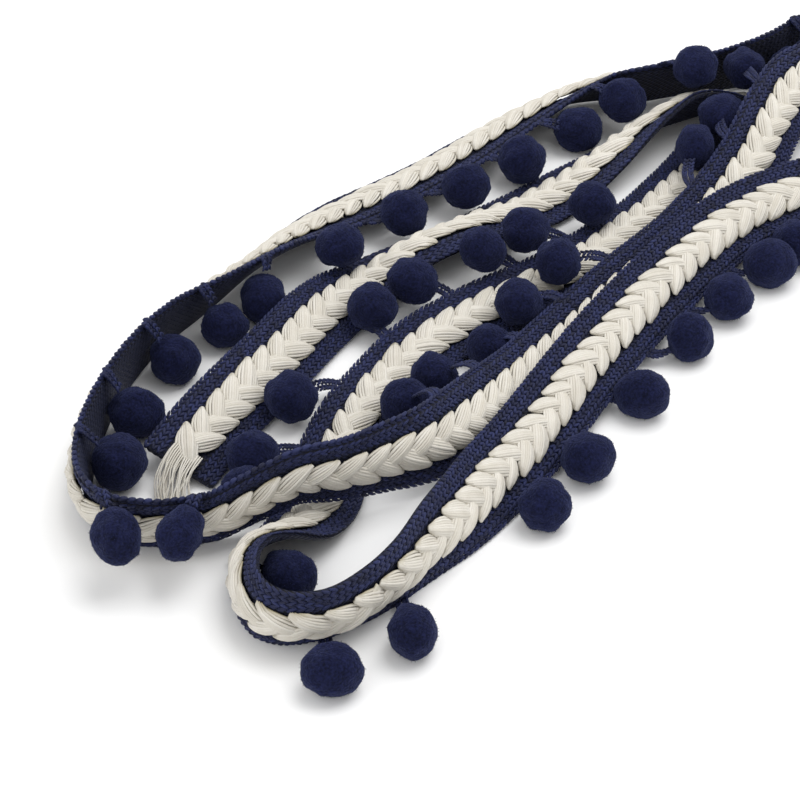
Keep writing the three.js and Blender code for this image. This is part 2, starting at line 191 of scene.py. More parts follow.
def layRoute():
    rows = []
    for x, y, lift, roll, arch in route:
        roll, arch = math.radians(roll), math.radians(arch)
        rows.append((x, y, lift + rise(roll, arch), roll, arch))
    rows = np.array(rows)
    padded = np.vstack([2 * rows[0] - rows[1], rows, 2 * rows[-1] - rows[-2]])
    fine = []
    for i in range(len(rows) - 1):
        a, b, c, d = padded[i:i + 4]
        for k in np.arange(30) / 30:
            bow = (2 * a - 5 * b + 4 * c - d) * k ** 2 + (3 * b - 3 * c + d - a) * k ** 3
            fine.append((2 * b + (c - a) * k + bow) / 2)
    fine = np.array(fine + [rows[-1]])
    run = np.concatenate([[0], np.cumsum(np.linalg.norm(np.diff(fine[:, :3], axis=0), axis=1))])
    length = run[-1]
    count = round(length / trim["spacing"])
    stops = np.linspace(0, length, count + 1)
    even = np.stack([np.interp(stops, run, fine[:, n]) for n in range(5)], axis=1)
    middle, roll, arch = even[:, :3].copy(), even[:, 3:4], even[:, 4]
    ahead = unit(np.vstack([middle[1] - middle[0], middle[2:] - middle[:-2], middle[-1] - middle[-2]]))
    right = unit(np.stack([ahead[:, 1], -ahead[:, 0], 0 * arch], axis=1))
    up = np.cross(right, ahead)
    normal = up * np.cos(roll) + right * np.sin(roll)
    across = right * np.cos(roll) - up * np.sin(roll)
    lows = []
    for w, t in corners:
        aside, over = bent(w, t, arch)
        lows.append(middle[:, 2] + across[:, 2] * aside + normal[:, 2] * over)
    middle[:, 2] += np.maximum(0, -np.min(lows, axis=0))
    return {"middle": middle, "ahead": ahead, "normal": normal, "across": across,
            "arch": arch, "length": length, "step": length / count, "count": count}


laid = layRoute()


def spots(flat):  # rows of run, across and thickness to places on the laid trim
    flat = np.atleast_2d(np.asarray(flat, float))
    s, w, t = flat.T
    place = np.clip(s / laid["step"], 0, laid["count"] - 1e-6)
    i = place.astype(int)
    k = (place - i)[:, None]

    def between(name):
        return laid[name][i] * (1 - k) + laid[name][i + 1] * k

    arch = laid["arch"][i] * (1 - k[:, 0]) + laid["arch"][i + 1] * k[:, 0]
    across, up = bent(w, t, arch)
    beyond = s - np.clip(s, 0, laid["length"])
    out = between("middle") + unit(between("across")) * across[:, None]
    out += unit(between("normal")) * up[:, None] + unit(between("ahead")) * beyond[:, None]
    return out


def direction(name, s):
    place = min(max(s / laid["step"], 0), laid["count"] - 1e-6)
    i = int(place)
    return unit(laid[name][i] * (1 - place + i) + laid[name][i + 1] * (place - i))


def coordinates(mesh):
    flat = np.empty(len(mesh.vertices) * 3)
    mesh.vertices.foreach_get("co", flat)
    return flat.reshape(-1, 3)


def place(mesh, points):
    points = points + np.array(trim["middle"])
    points[:, 2] = np.maximum(points[:, 2], trim["offFloor"])
    mesh.vertices.foreach_set("co", points.ravel())
    mesh.update()


def finished(name, bm, smooth=True):  # a bmesh made flat or in place becomes an object
    mesh = bpy.data.meshes.new(name)
    bm.to_mesh(mesh)
    bm.free()
    obj = bpy.data.objects.new(name, mesh)
    bpy.context.scene.collection.objects.link(obj)
    mesh.polygons.foreach_set("use_smooth", [smooth] * len(mesh.polygons))
    return obj


def repeated(obj, count, step):  # copies of a small mesh along the run, all in one mesh
    array = obj.modifiers.new("along", "ARRAY")
    array.count = count
    array.use_relative_offset = False
    array.use_constant_offset = True
    array.constant_offset_displace = (step, 0, 0)
    bpy.context.view_layer.update()
    made = bpy.data.meshes.new_from_object(obj.evaluated_get(bpy.context.evaluated_depsgraph_get()))
    obj.modifiers.clear()
    obj.data = made
    made.name = obj.name
    return obj


def tones(mesh, each, low=0.0, high=1.0):  # one random tone for every so many vertices
    count = len(mesh.vertices)
    drawn = rng.uniform(low, high, count // each + 1)
    tone = mesh.attributes.new("tone", "FLOAT", "POINT")
    tone.data.foreach_set("value", np.repeat(drawn, each)[:count].astype(np.float32))


def dress(obj, material, slot, *nodes):
    obj.data.materials.clear()
    obj.data.materials.append(material)
    if nodes:
        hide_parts(*nodes)
    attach(obj, "root")
    print("made", obj.name, len(obj.data.polygons), "faces")


# Materials

def link(tree, a, out, b, into):
    tree.links.new(a.outputs[out], b.inputs[into])


def fibreGroup():  # mottle of short fibres: a tone and a height
    group = bpy.data.node_groups.new("fibreMottle", "ShaderNodeTree")
    face = group.interface
    for name, value in (("Fine", 2500.0), ("Coarse", 260.0), ("Share", 0.5)):
        face.new_socket(name, in_out="INPUT", socket_type="NodeSocketFloat").default_value = value
    face.new_socket("Tone", in_out="OUTPUT", socket_type="NodeSocketFloat")
    face.new_socket("Height", in_out="OUTPUT", socket_type="NodeSocketFloat")
    given, out = group.nodes.new("NodeGroupInput"), group.nodes.new("NodeGroupOutput")
    where = group.nodes.new("ShaderNodeTexCoord")
    fine, coarse = group.nodes.new("ShaderNodeTexNoise"), group.nodes.new("ShaderNodeTexNoise")
    fine.inputs["Detail"].default_value = 4
    coarse.inputs["Detail"].default_value = 2
    for one, name in ((fine, "Fine"), (coarse, "Coarse")):
        link(group, where, "Object", one, "Vector")
        link(group, given, name, one, "Scale")
    blend = group.nodes.new("ShaderNodeMix")
    link(group, given, "Share", blend, "Factor")
    link(group, fine, "Fac", blend, "A")
    link(group, coarse, "Fac", blend, "B")
    spread = group.nodes.new("ShaderNodeMapRange")
    spread.inputs["From Min"].default_value = 0.32
    spread.inputs["From Max"].default_value = 0.68
    link(group, blend, "Result", spread, "Value")
    link(group, spread, "Result", out, "Tone")
    link(group, fine, "Fac", out, "Height")
    return group


def knitGroup():  # rows of chain stitches on the piece's own map, one unit to a stitch
    group = bpy.data.node_groups.new("knitRows", "ShaderNodeTree")
    group.interface.new_socket("Slant", in_out="INPUT", socket_type="NodeSocketFloat").default_value = 1.1
    group.interface.new_socket("Height", in_out="OUTPUT", socket_type="NodeSocketFloat")
    given, out = group.nodes.new("NodeGroupInput"), group.nodes.new("NodeGroupOutput")
    where, split = group.nodes.new("ShaderNodeUVMap"), group.nodes.new("ShaderNodeSeparateXYZ")
    where.uv_map = "knit"
    link(group, where, "UV", split, "Vector")

    def maths(operation, first, second=None):
        node = group.nodes.new("ShaderNodeMath")
        node.operation = operation
        for i, value in enumerate((first, second)):
            if isinstance(value, (int, float)):
                node.inputs[i].default_value = value
            elif value is not None:
                group.links.new(value, node.inputs[i])
        return node.outputs[0]

    inWale = maths("ABSOLUTE", maths("SUBTRACT", maths("FRACT", split.outputs["Y"]), 0.5))
    phase = maths("ADD", split.outputs["X"], maths("MULTIPLY", inWale, given.outputs["Slant"]))
    lobe = maths("ADD", maths("MULTIPLY", maths("SINE", maths("MULTIPLY", phase, 2 * math.pi)), 0.5), 0.5)
    groove = maths("SUBTRACT", 1.0, maths("POWER", maths("MULTIPLY", inWale, 2.0), 4.0))
    centre = maths("MINIMUM", maths("MULTIPLY", inWale, 9.0), 1.0)
    height = maths("MULTIPLY", maths("MULTIPLY", lobe, groove), centre)
    group.links.new(height, out.inputs["Height"])
    return group


fibreMottle, knitRows = fibreGroup(), knitGroup()


def yarnMaterial(name, finish):
    made = bpy.data.materials.new(name)
    made.use_nodes = True
    tree = made.node_tree
    shader = tree.nodes["Principled BSDF"]
    shader.inputs["Roughness"].default_value = finish["roughness"]
    shader.inputs["Specular IOR Level"].default_value = finish["specular"]
    shader.inputs["Sheen Weight"].default_value = finish["sheen"]
    shader.inputs["Sheen Roughness"].default_value = finish["sheenRoughness"]
    shader.inputs["Sheen Tint"].default_value = (*finish["sheenTint"], 1)
    mottle = tree.nodes.new("ShaderNodeGroup")
    mottle.node_tree = fibreMottle
    mottle.inputs["Fine"].default_value = finish["fine"]
    mottle.inputs["Coarse"].default_value = finish["coarse"]
    mottle.inputs["Share"].default_value = finish["share"]
    own = tree.nodes.new("ShaderNodeAttribute")
    own.attribute_name = "tone"
    both = tree.nodes.new("ShaderNodeMix")
    both.inputs["Factor"].default_value = finish["perYarn"]
    link(tree, mottle, "Tone", both, "A")
    link(tree, own, "Fac", both, "B")
    ramp = tree.nodes.new("ShaderNodeValToRGB")
    for stop, (at, colour) in zip((0, 1), ((0.1, finish["dark"]), (0.9, finish["light"]))):
        ramp.color_ramp.elements[stop].position = at
        ramp.color_ramp.elements[stop].color = (*colour, 1)
    link(tree, both, "Result", ramp, "Fac")
    bump = tree.nodes.new("ShaderNodeBump")
    bump.inputs["Strength"].default_value = finish["bump"]
    bump.inputs["Distance"].default_value = finish["depth"]
    if finish.get("knit"):
        rows = tree.nodes.new("ShaderNodeGroup")
        rows.node_tree = knitRows
        link(tree, rows, "Height", bump, "Height")
        # painted shade: the colour is multiplied by the stitch height, darkest in the grooves between wales
        # and between the lobes
        shade = tree.nodes.new("ShaderNodeMix")
        shade.data_type = "RGBA"
        shade.blend_type = "MULTIPLY"
        shade.inputs["Factor"].default_value = finish["knit"]
        tree.links.new(ramp.outputs["Color"], shade.inputs["A"])
        tree.links.new(rows.outputs["Height"], shade.inputs["B"])
        tree.links.new(shade.outputs["Result"], shader.inputs["Base Color"])
    else:
        link(tree, mottle, "Height", bump, "Height")
        if finish.get("deep"):  # painted shade: yarns lying low in the gaps between the leaves take a dark ochre colour
            deep = tree.nodes.new("ShaderNodeAttribute")
            deep.attribute_name = "deep"
            shade = tree.nodes.new("ShaderNodeMix")
            shade.data_type = "RGBA"
            shade.inputs["B"].default_value = (*finish["deep"], 1)
            tree.links.new(deep.outputs["Fac"], shade.inputs["Factor"])
            tree.links.new(ramp.outputs["Color"], shade.inputs["A"])
            tree.links.new(shade.outputs["Result"], shader.inputs["Base Color"])
        else:
            link(tree, ramp, "Color", shader, "Base Color")
    link(tree, bump, "Normal", shader, "Normal")
    return made


navy = {"dark": (0.0020, 0.0026, 0.012), "light": (0.017, 0.024, 0.092), "roughness": 0.66, "specular": 0.32,
        "sheen": 0.12, "sheenRoughness": 0.4, "sheenTint": (0.35, 0.42, 0.9),
        "fine": 2600.0, "coarse": 420.0, "share": 0.4, "perYarn": 0.55, "bump": 0.5, "depth": 0.0001}
navyYarn = yarnMaterial("navyYarn", navy)
# knit sets how much painted shade falls in the grooves between the stitches
navyGround = yarnMaterial("navyGround", {**navy, "knit": 0.8, "bump": 0.9, "depth": 0.0005})
navyFelt = yarnMaterial("navyFelt", {
    **navy, "dark": (0.0012, 0.0016, 0.008), "light": (0.0095, 0.0120, 0.048), "roughness": 0.9,
    "specular": 0.1, "sheen": 0.15, "sheenRoughness": 0.55, "fine": 1500.0, "coarse": 500.0, "share": 0.25,
    "perYarn": 0.15, "bump": 1.0, "depth": 0.0005})
# deep is the dark ochre of the painted shade on yarns lying low in the braid
creamCotton = yarnMaterial("creamCotton", {
    "dark": (0.58, 0.545, 0.475), "light": (0.71, 0.68, 0.62), "roughness": 0.8, "specular": 0.2,
    "sheen": 0.1, "sheenRoughness": 0.4, "sheenTint": (1.0, 0.97, 0.9), "deep": (0.33, 0.28, 0.15),
    "fine": 3000.0, "coarse": 300.0, "share": 0.5, "perYarn": 0.5, "bump": 0.35, "depth": 0.0001})

# Ground tape: one knitted band, its wales running along it
ground = {"inner": -0.0100, "outer": 0.0109, "rows": 1180, "around": 44, "wale": 0.00183, "stitch": 0.0019,
          "face": 0.00082, "back": -0.00085, "groove": 0.00012, "edgeRound": 0.0008, "weld": 0.00002}


def groundTape():
    bm = bmesh.new()
    bmesh.ops.create_grid(bm, x_segments=ground["rows"], y_segments=ground["around"], size=0.5)
    knit = bm.loops.layers.uv.new("knit")
    wide = ground["outer"] - ground["inner"]
    for face in bm.faces:
        for corner in face.loops:
            x, y = corner.vert.co.x + 0.5, corner.vert.co.y + 0.5
            corner[knit].uv = (x * laid["length"] / ground["stitch"], y * 2 * wide / ground["wale"])
    for v in bm.verts:
        x, turn = v.co.x + 0.5, (v.co.y + 0.5) * 2  # 0 to 1 across the face, 1 to 2 back across the reverse
        front = turn <= 1
        share = turn if front else 2 - turn
        w = ground["inner"] + wide * share
        edge = min(share, 1 - share) * wide
        crown = math.sqrt(max(0.0, 1 - (1 - min(edge / ground["edgeRound"], 1)) ** 2))
        t = (ground["face"] if front else ground["back"]) * crown
        wave = math.cos(2 * math.pi * (w - ground["inner"]) / ground["wale"])
        t += ground["groove"] * crown * wave * (-1 if front else 1)
        v.co = (x * laid["length"], w, t)
    bmesh.ops.remove_doubles(bm, verts=bm.verts, dist=ground["weld"])
    bmesh.ops.holes_fill(bm, edges=[e for e in bm.edges if e.is_boundary])
    bmesh.ops.recalc_face_normals(bm, faces=bm.faces)
    obj = finished("groundTape", bm)
    place(obj.data, spots(coordinates(obj.data)))
    return obj


tape = groundTape()
dress(tape, navyGround, "navy_knit", "ground_tape")

# Chain stitches: each wale of a rib is a chain of V stitches, two lobes to a V
stitch = {"long": 0.00145, "wide": 0.00052, "thick": 0.00036, "lean": 24, "pitch": 0.0019,
          "apart": 0.84, "uneven": 0.00004}
lobePoints = 12  # vertices of one lobe


def lobe(bm, w, t, side, size=stitch, tilt=0.0):
    turn = Matrix.Rotation(tilt, 4, "X") @ Matrix.Rotation(math.radians(size["lean"]) * side, 4, "Z")
    shape = Matrix.Diagonal((size["long"], size["wide"], size["thick"], 1))
    middle = Matrix.Translation((size["pitch"] / 2, w, t))
    bmesh.ops.create_icosphere(bm, subdivisions=1, radius=1, matrix=middle @ turn @ shape)


def chains(name, wales, size=stitch):  # wales: place across, height, tilt
    bm = bmesh.new()
    for w, t, tilt in wales:
        for side in (-1, 1):
            lobe(bm, w + side * size["apart"] * size["wide"], t, side, size, tilt)
    obj = repeated(finished(name, bm), int(laid["length"] / size["pitch"]), size["pitch"])
    tones(obj.data, lobePoints)
    flat = coordinates(obj.data)
    flat += np.repeat(rng.normal(0, size["uneven"], (len(flat) // lobePoints, 3)), lobePoints, axis=0)
    place(obj.data, spots(flat))
    return obj


plainRib = chains("plainRib", ((0.0064, 0.00088, 0), (0.00823, 0.00092, 0), (0.01005, 0.00098, -0.25)))
pompomRib = chains("pompomRib", ((-0.0064, 0.00088, 0), (-0.00823, 0.00095, 0)))
dress(plainRib, navyYarn, "navy_knit")
dress(pompomRib, navyYarn, "navy_knit")

# Pompom edging: a thick chain along the pompom edge, seen from both sides
edgeStitch = {**stitch, "wide": 0.00048, "thick": 0.00078, "lean": 20}
edging = chains("pompomEdging", ((-0.01026, 0.0001, 0),), edgeStitch)
dress(edging, navyYarn, "navy_pompom")

# Braid: flat leaves of parallel yarns, left and right by turns, tips forward
leaf = {
    "pitch": 0.0075,
    "yarns": 9,
    "sides": 5,
    "cuts": 6,
    "yarn": 0.00044,  # half a yarn's thickness
    "wideYarn": 1.06,  # yarns press into one another
    "flatYarn": 0.55,  # and flatten at both ends
    "rootW": -0.0021,  # across, from the middle of the braid
    "tipW": 0.0052,
    "ahead": 0.0108,
    "half": 0.0021,  # half a leaf's width
    "rootShare": 0.78,  # width at the root
    "widest": 0.5,  # share of its length, then it narrows to the tip
    "tipReach": 0.54,
    "tipRound": 0.0015,  # outer yarns end this much sooner
    "low": 0.00150,  # above the middle of the tape
    "high": 0.0039,
    "rootRise": 0.06,
    "rise": 0.9,  # share of half a turn that the arc takes
    "plump": 0.75,
    "crown": 0.55,  # how much lower the outer yarns lie
    "tilt": 0.00055,
    "bow": 0.0007,
    "from": 0.0012,  # first leaf, from the raw end
    "endLeft": 0.014,
    "jitter": 0.07,  # spread of the leaves' size
    "slip": 0.00018,  # and of their place along and above the tape
    "lift": 0.00007,
    "yarnLift": 0.00006,
    "dip": 0.0006,  # deepest that a yarn may sink
    "shadeFrom": 0.0008,  # painted shade darkens the yarns that lie below this height
    "shadeOver": 0.0009,
}


def rod(bm, sides, cuts):  # an upright rod, radius and height 1, cut across into rings
    first = len(bm.verts)
    made = bmesh.ops.create_cone(bm, cap_ends=True, segments=sides, radius1=1, radius2=1, depth=1)
    long = [e for v in made["verts"] for e in v.link_edges if v.co.z < e.other_vert(v).co.z - 0.5]
    bmesh.ops.subdivide_edges(bm, edges=long, cuts=cuts)
    bm.verts.ensure_lookup_table()
    return bm.verts[first:]


def leafSide(name, side, offset):
    bm = bmesh.new()
    for j in range(leaf["yarns"]):
        lane = 2 * j / (leaf["yarns"] - 1) - 1  # -1 is the forward edge of the leaf
        ring = rod(bm, leaf["sides"], leaf["cuts"])
        heading = Vector((leaf["ahead"], leaf["tipW"] - leaf["rootW"], 0)).normalized()
        aside = Vector((-heading.y, heading.x, 0))
        for v in ring:
            u = v.co.z + 0.5
            swell = leaf["rootShare"] + (1 - leaf["rootShare"]) * min(u / leaf["widest"], 1)
            wide = leaf["half"] * swell * math.sqrt(1 - (max(u - leaf["widest"], 0) / leaf["tipReach"]) ** 2)
            bulge = math.sin(math.pi * u)
            middle = Vector((leaf["ahead"] * u, leaf["rootW"] + (leaf["tipW"] - leaf["rootW"]) * u, 0))
            middle += aside * (lane * wide + leaf["bow"] * bulge * (0.5 + 0.5 * lane))
            middle -= heading * leaf["tipRound"] * lane * lane * u
            arc = math.sin(math.pi * (leaf["rootRise"] + leaf["rise"] * u)) ** leaf["plump"]
            crown = (leaf["high"] - leaf["low"]) * arc * (1 - leaf["crown"] * lane * lane)
            high = leaf["low"] + crown - leaf["tilt"] * lane * arc
            flatten = leaf["flatYarn"] + (1 - leaf["flatYarn"]) * arc
            acrossYarn = v.co.x * leaf["yarn"] * leaf["wideYarn"]
            upYarn = v.co.y * leaf["yarn"] * flatten
            v.co = middle + aside * acrossYarn + Vector((0, 0, high + upYarn))
    for v in bm.verts:
        v.co.y *= side
    bmesh.ops.recalc_face_normals(bm, faces=bm.faces)
    each = len(bm.verts)
    count = int((laid["length"] - leaf["endLeft"] - offset) / leaf["pitch"])
    obj = repeated(finished(name, bm), count, leaf["pitch"])
    flat = coordinates(obj.data).reshape(count, each, 3)
    middles = flat.mean(axis=1, keepdims=True)
    flat = middles + (flat - middles) * (1 + rng.normal(0, leaf["jitter"], (count, 1, 1)))
    flat[:, :, 0] += rng.normal(0, leaf["slip"], (count, 1)) + leaf["from"] + offset
    flat[:, :, 2] += rng.normal(0, leaf["lift"], (count, 1))
    perYarn = each // leaf["yarns"]
    strands = flat.reshape(count * leaf["yarns"], perYarn, 3)
    strands[:, :, 2] += rng.normal(0, leaf["yarnLift"], (len(strands), 1))
    flat = strands.reshape(-1, 3)
    flat[:, 2] = np.maximum(flat[:, 2], leaf["low"] - leaf["dip"])
    tones(obj.data, perYarn)
    # painted shade: the lower a yarn lies, the more of the dark ochre it takes
    deep = obj.data.attributes.new("deep", "FLOAT", "POINT")
    shade = (leaf["low"] + leaf["shadeFrom"] - flat[:, 2]) / leaf["shadeOver"]
    deep.data.foreach_set("value", np.clip(shade, 0, 1).astype(np.float32))
    place(obj.data, spots(flat))
    return obj


braidLeft = leafSide("braidLeft", -1, 0.0)
braidRight = leafSide("braidRight", 1, leaf["pitch"] / 2)
dress(braidLeft, creamCotton, "cream_cotton", "cotton_braid")
dress(braidRight, creamCotton, "cream_cotton", "cotton_braid")

# Loose yarns of the braid at the raw end: they fan out, drop and lie towards the front
loose = {
    "count": 28,
    "long": 0.0145,
    "uneven": 0.1,
    "yarn": 0.00025,
    "sides": 5,
    "cuts": 14,
    "from": 0.0045,  # where each yarn leaves the braid
    "half": 0.0042,
    "layer": 0.0020,
    "second": 0.0009,
    "hidden": 0.2,  # share of a yarn that is still in the braid
    "fan": 0.1,
    "turnOver": 0.012,  # length over which a yarn turns and drops
    "toFront": 0.45,
    "front": (0.12, -1, 0),
    "drop": 0.0075,
    "dropPower": 1.3,
    "sway": 0.0011,
    "wave": 0.0006,
    "waves": 7,
    "above": 0.0001,
    "pile": 0.0006,  # yarns lie in three layers
}


def looseYarns():
    bm = bmesh.new()
    ahead = direction("ahead", 0)
    front = np.array(loose["front"])
    for i in range(loose["count"]):
        share = i / (loose["count"] - 1)
        ring = rod(bm, loose["sides"], loose["cuts"])
        w = loose["half"] * (2 * share - 1)
        lengthwise = loose["long"] * (1 - loose["uneven"] + loose["uneven"] * math.cos(2.4 * i))
        layer = loose["layer"] + loose["second"] * (i % 2)
        sway, phase = rng.normal(0, loose["sway"]), rng.uniform(0, 2 * math.pi)
        for v in ring:
            u = v.co.z + 0.5
            gone = loose["from"] * min(u * 3, 1)
            rest = lengthwise * max(u - loose["hidden"], 0) / (1 - loose["hidden"])
            point = spots([loose["from"] - gone, w * (1 + loose["fan"] * u), layer])[0]
            turn = min(rest / loose["turnOver"], 1)
            straight = ahead * rest * (1 - loose["toFront"] * turn)
            point = point - straight + front * rest * loose["toFront"] * turn
            aside = sway * turn + loose["wave"] * turn * math.sin(loose["waves"] * turn + phase)
            point = point + np.array((aside, 0, -loose["drop"] * turn ** loose["dropPower"]))
            point[2] = max(point[2], loose["yarn"] + loose["above"] + loose["pile"] * (i % 3) * turn)
            side = np.cross(ahead, (0, 0, 1))
            point = point + side * v.co.x * loose["yarn"] + np.array((0, 0, v.co.y * loose["yarn"]))
            v.co = point
    bmesh.ops.recalc_face_normals(bm, faces=bm.faces)
    each = len(bm.verts) // loose["count"]
    obj = finished("looseYarns", bm)
    tones(obj.data, each)
    # the loose yarns take no painted shade: their deep attribute stays zero
    obj.data.attributes.new("deep", "FLOAT", "POINT")
    place(obj.data, coordinates(obj.data))
    return obj


yarns = looseYarns()
dress(yarns, creamCotton, "cream_cotton", "end_yarns")

# Pompoms: where each one lies, as in the solid model
pompom = {"radius": 0.0068, "pitch": 0.024, "first": 0.012, "reachLeast": 0.009, "reachMost": 0.019,
          "clearance": 0.0006, "edging": 0.0013, "stalkThick": 0.0012, "start": 0.012, "endLeft": 0.006,
          "outward": 0.003, "near": 0.003, "passes": 150, "sink": 0.06}
beads = [  # what a pompom is pushed clear of along the tape: across, above the middle, radius
    (-0.0104, 0, 0.0014), (-0.0076, 0, 0.0014), (0.0076, 0, 0.0014), (0.0104, 0, 0.0014),
    (-0.005, 0, 0.0012), (-0.002, 0, 0.0012), (0.002, 0, 0.0012), (0.005, 0, 0.0012),
    (-0.0034, 0.002, 0.0021), (0, 0.002, 0.0021), (0.0034, 0.002, 0.0021),
]
# Places left empty: their pompoms lie hidden under the folds
tucked = (0, 1, 2, 3, 4, 5, 6, 7, 8, 9, 10, 11, 12, 14, 16, 31, 32, 38, 54, 57, 67, 68)
placed = {  # number along the trim: x, y, z of the pompom
    17: (0.096, 0.144, 0.022),
    18: (0.072, 0.140, 0.013),
    19: (0.054, 0.123, 0.000),
    20: (0.036, 0.106, 0.000),
    21: (0.017, 0.089, 0.000),
    22: (-0.002, 0.078, 0.000),
    23: (-0.023, 0.056, 0.011),
    24: (-0.038, 0.037, 0.000),
    25: (-0.049, 0.025, 0.000),
    26: (-0.062, 0.011, 0.000),
    27: (-0.072, -0.015, 0.008),
    28: (-0.074, -0.034, 0.008),
    29: (-0.071, -0.075, 0.017),
    30: (-0.055, -0.074, 0.017),
    33: (0.001, -0.014, 0.011),
    34: (0.009, -0.001, 0.009),
    35: (0.018, 0.014, 0.000),
    36: (0.033, 0.021, 0.010),
    37: (0.045, 0.039, 0.011),
    39: (0.089, 0.105, 0.009),
    40: (0.096, 0.125, 0.015),
    41: (0.107, 0.141, 0.018),
    47: (0.117, 0.066, 0.000),
    48: (0.108, 0.055, 0.000),
    49: (0.092, 0.043, 0.000),
    50: (0.079, 0.025, 0.000),
    51: (0.066, -0.006, 0.000),
    52: (0.048, -0.029, 0.000),
    53: (0.034, -0.047, 0.000),
    55: (0.005, -0.109, 0.000),
    56: (-0.016, -0.115, 0.000),
    58: (-0.025, -0.082, 0.000),
    59: (-0.038, -0.050, 0.000),
    60: (-0.042, -0.038, 0.000),
    61: (-0.037, -0.020, 0.000),
    62: (-0.009, 0.031, 0.008),
    63: (0.008, 0.039, 0.010),
    64: (0.024, 0.051, 0.012),
    65: (0.037, 0.063, 0.012),
    66: (0.057, 0.079, 0.011),
}


def pushed(centre, source, least):
    away = centre - source
    gap = np.linalg.norm(away)
    return centre + away * (least - gap) / gap if gap < least else centre


def settle():
    every = []
    s = pompom["first"]
    while s < laid["length"] - pompom["endLeft"]:
        root, out = spots([(s, -half + 0.35 * pompom["edging"], 0), (s, -half - pompom["outward"], 0)])
        root[2] = max(root[2], pompom["stalkThick"] / 2 + trim["offFloor"])
        ahead = direction("ahead", s)
        side = unit(np.array((-ahead[1], ahead[0], 0)))
        centre = root + side * pompom["start"]
        centre[2] = pompom["radius"]
        every.append({"number": len(every), "root": root, "outward": unit(out - root), "ahead": ahead,
                      "centre": centre, "rest": pompom["radius"]})
        s += pompom["pitch"]
    for number, point in placed.items():
        every[number]["centre"] = np.array(point)
        every[number]["rest"] = max(point[2], pompom["radius"])
    kept = [one for number, one in enumerate(every) if number not in tucked]
    stops = np.arange(laid["count"] + 1) * laid["step"]
    probes, radii = [], []
    for w, t, radius in beads:
        probes.append(spots(np.stack([stops, 0 * stops + w, 0 * stops + t], axis=1)))
        radii.append(0 * stops + pompom["radius"] + radius + pompom["clearance"])
    probes = np.stack(probes, axis=1).reshape(-1, 3)
    radii = np.stack(radii, axis=1).ravel()
    apart = 2 * pompom["radius"] + pompom["clearance"]
    for _ in range(pompom["passes"]):
        for one in kept:
            centre = one["centre"]
            centre[2] += (one["rest"] - centre[2]) * pompom["sink"]
            away = centre - one["root"]
            reach = np.linalg.norm(away)
            wanted = min(max(reach, pompom["reachLeast"]), pompom["reachMost"])
            centre = centre + away * (wanted - reach) / reach
            for other in kept:
                if other is not one:
                    centre = pushed(centre, other["centre"], apart)
            near = np.flatnonzero(np.linalg.norm(probes - centre, axis=1) < radii + pompom["near"])
            for i in near:
                centre = pushed(centre, probes[i], radii[i])
            centre[2] = max(centre[2], pompom["radius"])
            one["centre"] = centre
    return kept


poms = settle()
rows = [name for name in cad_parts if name.startswith("pompom_row")]
felt = {
    "long": 1.05,
    "squash": 0.09,
    "lump": 0.0008,
    "lumpScale": 1.7,  # in the pompom's own radii
    "dent": 0.35,  # share of a lump
    "dentScale": 5.5,
    "fibres": 900,
    "fibre": 0.00055,
    "shortest": 0.45,
    "fibreWide": 0.00005,
    "lean": 0.55,
}
eggs = {  # pompoms that are plainly not round: size across, deep and along the stalk
    28: (1.10, 1.0, 1.10),
    29: (0.95, 1.0, 1.14),
    30: (0.90, 0.95, 1.12),
    39: (0.95, 0.95, 1.15),
    55: (0.96, 0.96, 1.12),
    56: (1.20, 0.95, 0.90),
}


def outlineOf(one):  # a pompom's own axes and shape
    axis = Vector(one["centre"] - one["root"]).normalized()
    turn = axis.to_track_quat("Z", "Y").to_matrix()
    wide, deep, long = eggs.get(one["number"], (1, 1, felt["long"]))
    scale = [size + rng.uniform(-1, 1) * felt["squash"] for size in (wide, deep, long)]
    return turn, Vector(scale) * pompom["radius"]


def surface(one, number, shape, ray):
    turn, radii = shape
    ray = Vector(ray)
    point = Vector((ray.x * radii.x, ray.y * radii.y, ray.z * radii.z))
    # Each pompom reads its own part of the noise
    rough = noise.noise(ray * felt["lumpScale"] + Vector((number * 7.3, 0, 0))) * felt["lump"]
    rough += noise.noise(ray * felt["dentScale"] + Vector((0, number * 5.1, 0))) * felt["lump"] * felt["dent"]
    point += ray * rough
    point = turn @ point + Vector(one["centre"])
    point.z = max(point.z, 0.00005)
    return point


def feltBalls():
    bm, tuft = bmesh.new(), bmesh.new()
    for number, one in enumerate(poms):
        shape = outlineOf(one)
        ball = bmesh.ops.create_icosphere(bm, subdivisions=4, radius=1)
        for v in ball["verts"]:
            v.co = surface(one, number, shape, v.co)
        rays = unit(rng.normal(size=(felt["fibres"], 3)))
        leans = rng.normal(0, felt["lean"], (felt["fibres"], 3))
        longs = felt["fibre"] * rng.uniform(felt["shortest"], 1.0, felt["fibres"])
        for ray, lean, length in zip(rays, leans, longs):
            base = surface(one, number, shape, ray)
            out = (base - Vector(one["centre"])).normalized()
            tip = base + (out + Vector(lean)).normalized() * length
            tip.z = max(tip.z, 0.0001)
            side = out.cross(Vector(lean)).normalized() * felt["fibreWide"]
            over = out.cross(side)
            foot = (base - side - over, base + side - over, base + over * 1.2)
            ends = [tuft.verts.new(point) for point in (*foot, tip)]
            for a, b, c in ((0, 2, 1), (0, 1, 3), (1, 2, 3), (2, 0, 3)):
                tuft.faces.new((ends[a], ends[b], ends[c]))
    balls, fuzz = finished("pompoms", bm), finished("pompomFuzz", tuft, smooth=False)
    tones(balls.data, len(balls.data.vertices) // len(poms), 0.3, 0.7)
    tones(fuzz.data, 4)
    for obj in (balls, fuzz):
        place(obj.data, coordinates(obj.data))
    return balls, fuzz


balls, fuzz = feltBalls()
dress(balls, navyFelt, "navy_pompom", *rows)
dress(fuzz, navyFelt, "navy_pompom")

